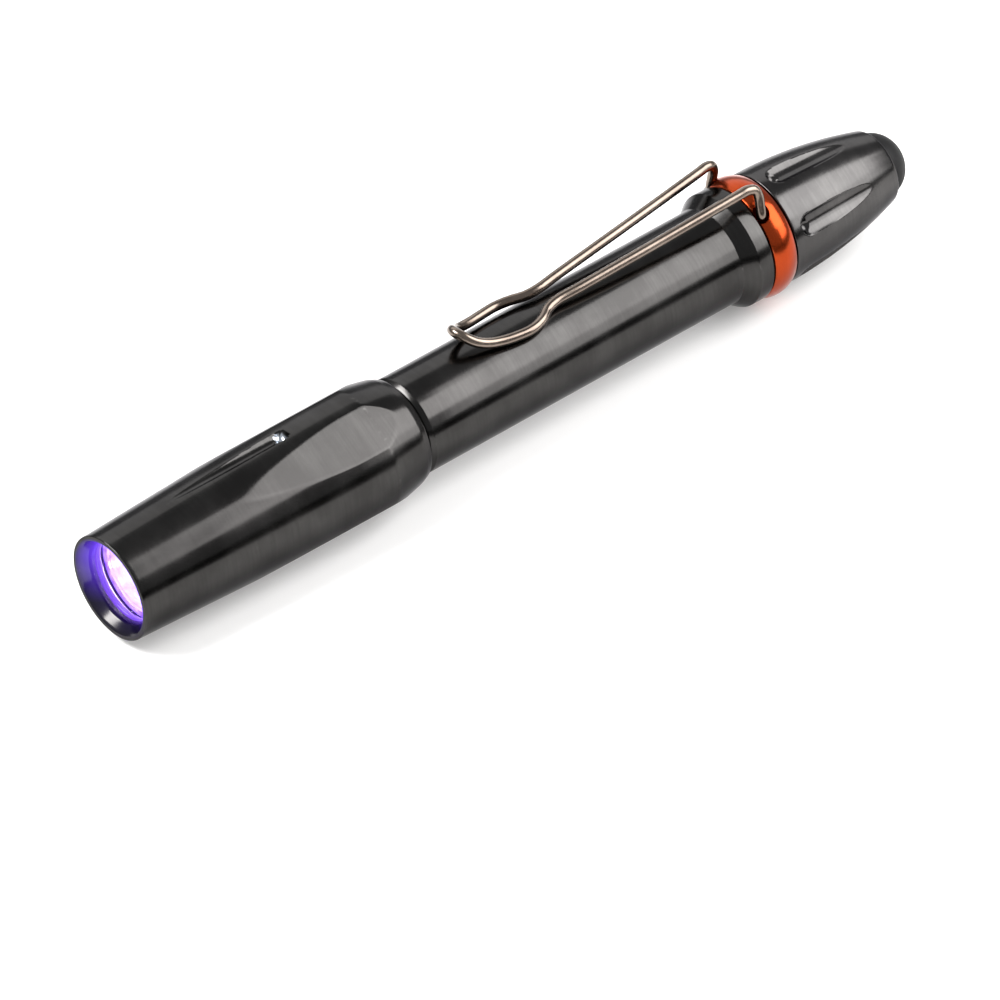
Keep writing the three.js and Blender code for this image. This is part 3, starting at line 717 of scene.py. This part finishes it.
# One side of the clip from its tip to its foot: distance ahead of the foot, distance from the middle
# plane, and height above the barrel's side.
CLIP_SIDE = ((47.0, 0, 2.6), (46.65, 1.15, 2.3), (45.7, 2.1, 1.5), (44.2, 2.75, 0.8), (42.4, 3.2, 0.4),
             (40.2, 3.6, 0.2), (37.6, 3.8, 0.15), (35.4, 3.2, 0.3), (33.8, 2.3, 0.55), (32.0, 1.95, 0.8),
             (28.2, 2.24, 1.1), (15.0, 3.15, 2.15), (2.6, 4.02, 3.2), (1.1, 4.15, 3.32), (0.1, 4.3, 2.95),
             (-0.25, 4.5, 2.0), (-0.1, 4.85, 0.4), (0, 5.05, -0.56), (0, 5.05, -1.46))
near_side, far_side = ([spot(FOOT_STATION - ahead, sign * across, BARREL_RADIUS + height)
                        for ahead, across, height in CLIP_SIDE] for sign in (1, -1))
CLIP_ROWS, WIRE_RADIUS = 420, 0.7
clip_path = spline([*reversed(near_side), *far_side[1:]], CLIP_ROWS)
clip = swept("pocket_clip_fine", clip_path, WIRE_RADIUS * MM, 20)
dress(clip, WIRE, "clip", "clip_wire", "pocket_clip")

# ---------------------------------------------------------------------------------------- tail cap

CAP_START, CAP_END = 108.2, 128.0
CAP_STRAIGHT, CAP_REAR_ROUNDING = 0.8, 0.4
CAP_RADIUS, CAP_REAR, CAP_HOLE, SWITCH_BORE, CAP_SOCKET = 7.92, 5.33, 4.7, 5.6, 6.3
FLUTES = [9.5 + 60 * k for k in range(6)]
FLUTE_TOOL, FLUTE_DEPTH = 2.2, 0.8
FLUTE_MIDDLE = CAP_START + 1.4 + math.sqrt(FLUTE_TOOL ** 2 - (FLUTE_TOOL - FLUTE_DEPTH) ** 2)
FLUTE_END = CAP_END - 5.2


def cap_side(station):
    """The cap's radius: straight at first, then one long arc to its rear edge."""
    length = CAP_END - CAP_START - CAP_STRAIGHT - CAP_REAR_ROUNDING
    drop = CAP_RADIUS - CAP_REAR
    arc = (length ** 2 + drop ** 2) / (2 * drop)
    return CAP_RADIUS - arc + math.sqrt(arc ** 2 - max(0, station - CAP_START - CAP_STRAIGHT) ** 2)


def cap_shape(station, radius, angle, wear):
    """The cap's turned surface with its six flutes, each with a ball-shaped pocket at its front."""
    edge = wear.copy()
    floor = cap_side(FLUTE_MIDDLE) - FLUTE_DEPTH
    slope = (cap_side(FLUTE_END) - floor) / (FLUTE_END - FLUTE_MIDDLE)
    middle_height = floor + FLUTE_TOOL + slope * np.maximum(station - FLUTE_MIDDLE, 0)
    before = np.clip(FLUTE_MIDDLE - station, 0, FLUTE_TOOL)
    tool = np.sqrt(np.maximum(FLUTE_TOOL ** 2 - before ** 2, 0))
    for side in FLUTES:
        cut = channel(angle, side, middle_height, tool)
        cut = np.where(station < FLUTE_MIDDLE - FLUTE_TOOL, OUTSIDE, cut)
        edge = np.maximum(edge, near_edge(cut, radius, 0.07) * (radius > 6.5))
        radius = softened(radius, cut, 0.05)
        pocket = ball(station, angle, side, FLUTE_MIDDLE - POCKET_INSET, floor + POCKET_LIFT, 0.95)
        edge = np.maximum(edge, near_edge(pocket, radius, 0.05) * (radius > 6.5))
        radius = softened(radius, pocket, 0.04)
    return radius, edge


def cap_outline():
    corners = [(CAP_START, CAP_SOCKET, 0.15), (CAP_START, CAP_RADIUS, 0.2),
               (CAP_START + CAP_STRAIGHT, CAP_RADIUS)]
    for station in np.linspace(CAP_START + 1.0, CAP_END - CAP_REAR_ROUNDING, 130):
        corners.append((float(station), cap_side(float(station))))
    corners += [(CAP_END, CAP_REAR - 0.15, 0.3), (CAP_END, CAP_HOLE, 0.15), (123.5, CAP_HOLE, 0.05)]
    corners += [(123.5, SWITCH_BORE, 0.05), (116.2, SWITCH_BORE, 0.1), (116.2, CAP_SOCKET, 0.1)]
    return rounded(corners)


CAP_ANGLES = around(3.0, [(f, 19.0, 0.9) for f in FLUTES])
dress(revolved("tail_cap_fine", cap_outline(), CAP_ANGLES, cap_shape), GUNMETAL, "cap",
      "black_anodised", "tail_cap")


def boot_outline():
    """The rubber cover: a flange inside the cap and a dome that stands out of it."""
    inner, outer, flange, inner_steps, outer_steps = 3.55, 4.55, 5.4, 8, 24
    corners = [(131.1, 0)]
    for k in range(1, inner_steps + 1):
        angle = math.pi / 2 * (1 - k / inner_steps)
        corners.append((CAP_END + 3.1 * math.sin(angle), inner * math.cos(angle)))
    corners += [(122.4, inner, 0.2), (122.4, flange, 0.2), (123.4, flange, 0.2), (123.4, outer, 0.1)]
    corners += [(127.6, outer)]
    for k in range(1, outer_steps):
        angle = math.pi / 2 * k / outer_steps
        corners.append((CAP_END + 4.1 * math.sin(angle), outer * math.cos(angle)))
    corners.append((132.1, 0))
    return rounded(corners, False)


boot = revolved("switch_boot_fine", boot_outline(), around(4.0), closed=False)
dress(boot, RUBBER, None, "black_rubber", "switch_boot")
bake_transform(boot)

# ----------------------------------------------------------------------------------- inside pieces

def coil(node, first, last, turns, wire):
    """A wound spring between the two ends of a CAD node, its radius running from first to last."""
    low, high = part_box(node)
    rows_per_turn = 40
    path = []
    for share in np.linspace(0, 1, rows_per_turn * turns):
        angle = 2 * math.pi * turns * share
        radius = (first + (last - first) * share) * MM
        station = low.x + wire * MM + share * (high.x - low.x - 2 * wire * MM)
        path.append((station, -radius * math.sin(angle), AXIS + radius * math.cos(angle)))
    return swept(node + "_fine", path, wire * MM, 12)


dress(coil("contact_spring", 2.4, 1.3, 2, 0.2), STEEL, "head", "spring_steel", "contact_spring")
dress(coil("tail_spring", 2.6, 3.5, 5, 0.35), STEEL, "cap", "spring_steel", "tail_spring")
plunger_coil = coil("plunger_spring", 1.65, 1.65, 3, 0.22)
dress(plunger_coil, STEEL, None, "spring_steel", "plunger_spring")
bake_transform(plunger_coil)

for node, material in (("led_board", WHITE), ("led_pill", BRASS), ("driver_board", GREEN),
                       ("battery_front", WRAP), ("battery_rear", WRAP),
                       ("switch_retainer", BRASS), ("switch_board", GREEN),
                       ("switch_housing", PLASTIC), ("switch_plunger", PLASTIC)):
    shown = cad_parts[node]
    shown.data.materials.clear()
    shown.data.materials.append(material)

# ------------------------------------------------------------------------------------------- stage

floor_material = bpy.data.materials.new("floor")
floor_material.use_nodes = True
floor_tree = floor_material.node_tree
floor_shader = floor_tree.nodes["Principled BSDF"]
for socket, value in (("Roughness", 0.8), ("Specular IOR Level", 0.1),
                      ("Emission Color", (1.0, 0.985, 0.97, 1)), ("Emission Strength", 0.2)):
    floor_shader.inputs[socket].default_value = value
tone = add(floor_tree, "TexNoise", {"Scale": 3.0, "Detail": 2.0})
mixed = add(floor_tree, "Mix", {"Factor": tone.outputs["Fac"]}, data_type="RGBA")
mixed.inputs["A"].default_value = (0.84, 0.830, 0.822, 1)
mixed.inputs["B"].default_value = (0.86, 0.850, 0.842, 1)
floor_tree.links.new(mixed.outputs["Result"], floor_shader.inputs["Base Color"])
FLOOR_HALF, FLOOR_GAP = 4.0, 0.00004
floor_corners = [(x * FLOOR_HALF, y * FLOOR_HALF, 0) for x, y in ((-1, -1), (1, -1), (1, 1), (-1, 1))]
floor = make_object("floor", floor_corners, [(0, 1, 2, 3)])
floor.location.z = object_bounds()[0][2] - FLOOR_GAP
floor.data.materials.append(floor_material)

# A low dark card beside the pen, which only reflections show. It stands for the dim end of a
# photographer's sweep.
CARD_FRONT, CARD_REAR, CARD_AWAY, CARD_HEIGHT = -0.25, 0.45, 0.055, 0.0125
card = make_object("dark_card", [(CARD_FRONT, -CARD_AWAY, 0), (CARD_REAR, -CARD_AWAY, 0),
                                 (CARD_REAR, -CARD_AWAY, CARD_HEIGHT),
                                 (CARD_FRONT, -CARD_AWAY, CARD_HEIGHT)], [(0, 1, 2, 3)])
card.visible_camera = False
card.visible_diffuse = False
card.visible_shadow = False
card.data.materials.append(finish("card", (0.01, 0.01, 0.01), (0.02, 0.02, 0.02), (0.8, 0.9)))

world = bpy.data.worlds.new("studio")
world.use_nodes = True
world.node_tree.nodes["Background"].inputs["Color"].default_value = (0.96, 0.98, 1.0, 1)
world.node_tree.nodes["Background"].inputs["Strength"].default_value = 0.45
bpy.context.scene.world = world
bpy.context.scene.view_settings.view_transform = "Standard"

PEN_MIDDLE = spot(66, 0, 0)
PANEL_DISTANCE = 0.55


def area_light(name, width, height, radiance, location, rotation):
    """A rectangular light whose face has a radiance."""
    light = bpy.data.lights.new(name, "AREA")
    light.shape = "RECTANGLE"
    light.size, light.size_y = width, height
    light.energy = radiance * math.pi * width * height
    lamp = bpy.data.objects.new(name, light)
    bpy.context.scene.collection.objects.link(lamp)
    lamp.location = location
    lamp.rotation_euler = rotation


def panel(name, low, high, left, right, radiance):
    """A lit panel beside the pen. It spans low to high degrees above the floor about the pen's axis,
    and left to right degrees along the pen from square on."""
    middle = math.radians((low + high) / 2)
    height = 2 * PANEL_DISTANCE * math.tan(math.radians(high - low) / 2)
    start, end = (PANEL_DISTANCE * math.tan(math.radians(a)) for a in (left, right))
    along = Vector((1, 0, 0))
    out = Vector((0, -math.cos(middle), math.sin(middle)))
    rotation = Matrix((along, out.cross(along), out)).transposed().to_euler()
    location = PEN_MIDDLE + out * PANEL_DISTANCE + along * (start + end) / 2
    area_light(name, end - start, height, radiance, location, rotation)


panel("key_middle", 28, 66, 18, 60, 7.5)
panel("key_low", 7, 28, 26.8, 60, 5.4)
panel("key_high", 66, 77, 26.8, 60, 7.3)
panel("back_low", 120, 158, -5, 60, 1.5)

# A light above the pen's front, for the surfaces that lean forwards.
front = Vector((-0.54, 0.34, 0.78)).normalized()
area_light("front_top", 0.42, 0.24, 22.0, PEN_MIDDLE + front * 0.7, front.to_track_quat("Z", "Y").to_euler())

# ------------------------------------------------------------------------------------------ camera

AZIMUTH, ELEVATION, ROLL = math.radians(-35.956), math.radians(33.953), math.radians(-6.879)
DISTANCE = 1.501
AIM_RIGHT, AIM_UP = -0.00158, -0.0172  # where the lens points, from the pen's middle
FOCAL_PIXELS, FRAME_PIXELS, SENSOR_WIDTH = 11690.0, 1000, 36.0
away = Vector((math.sin(AZIMUTH) * math.cos(ELEVATION), -math.cos(AZIMUTH) * math.cos(ELEVATION),
               math.sin(ELEVATION)))
forward = -away
right = forward.cross(Vector((0, 0, 1))).normalized()
up = right.cross(forward)
rolled_right = right * math.cos(ROLL) + up * math.sin(ROLL)
rolled_up = -right * math.sin(ROLL) + up * math.cos(ROLL)
target = spot(66.25, 0, 0)
place = target + away * DISTANCE
aim = target + AIM_RIGHT * rolled_right + AIM_UP * rolled_up
view = (aim - place).normalized()
camera_data = bpy.data.cameras.new("camera")
camera_data.sensor_width = SENSOR_WIDTH
camera_data.lens = FOCAL_PIXELS * SENSOR_WIDTH / FRAME_PIXELS
camera_data.clip_end = 20.0
camera = bpy.data.objects.new("camera", camera_data)
bpy.context.scene.collection.objects.link(camera)
camera_right = (rolled_right - view * rolled_right.dot(view)).normalized()
camera_up = camera_right.cross(view)
camera.matrix_world = Matrix((
    (camera_right.x, camera_up.x, -view.x, place.x),
    (camera_right.y, camera_up.y, -view.y, place.y),
    (camera_right.z, camera_up.z, -view.z, place.z),
    (0, 0, 0, 1),
))
bpy.context.scene.camera = camera

bpy.context.view_layer.update()
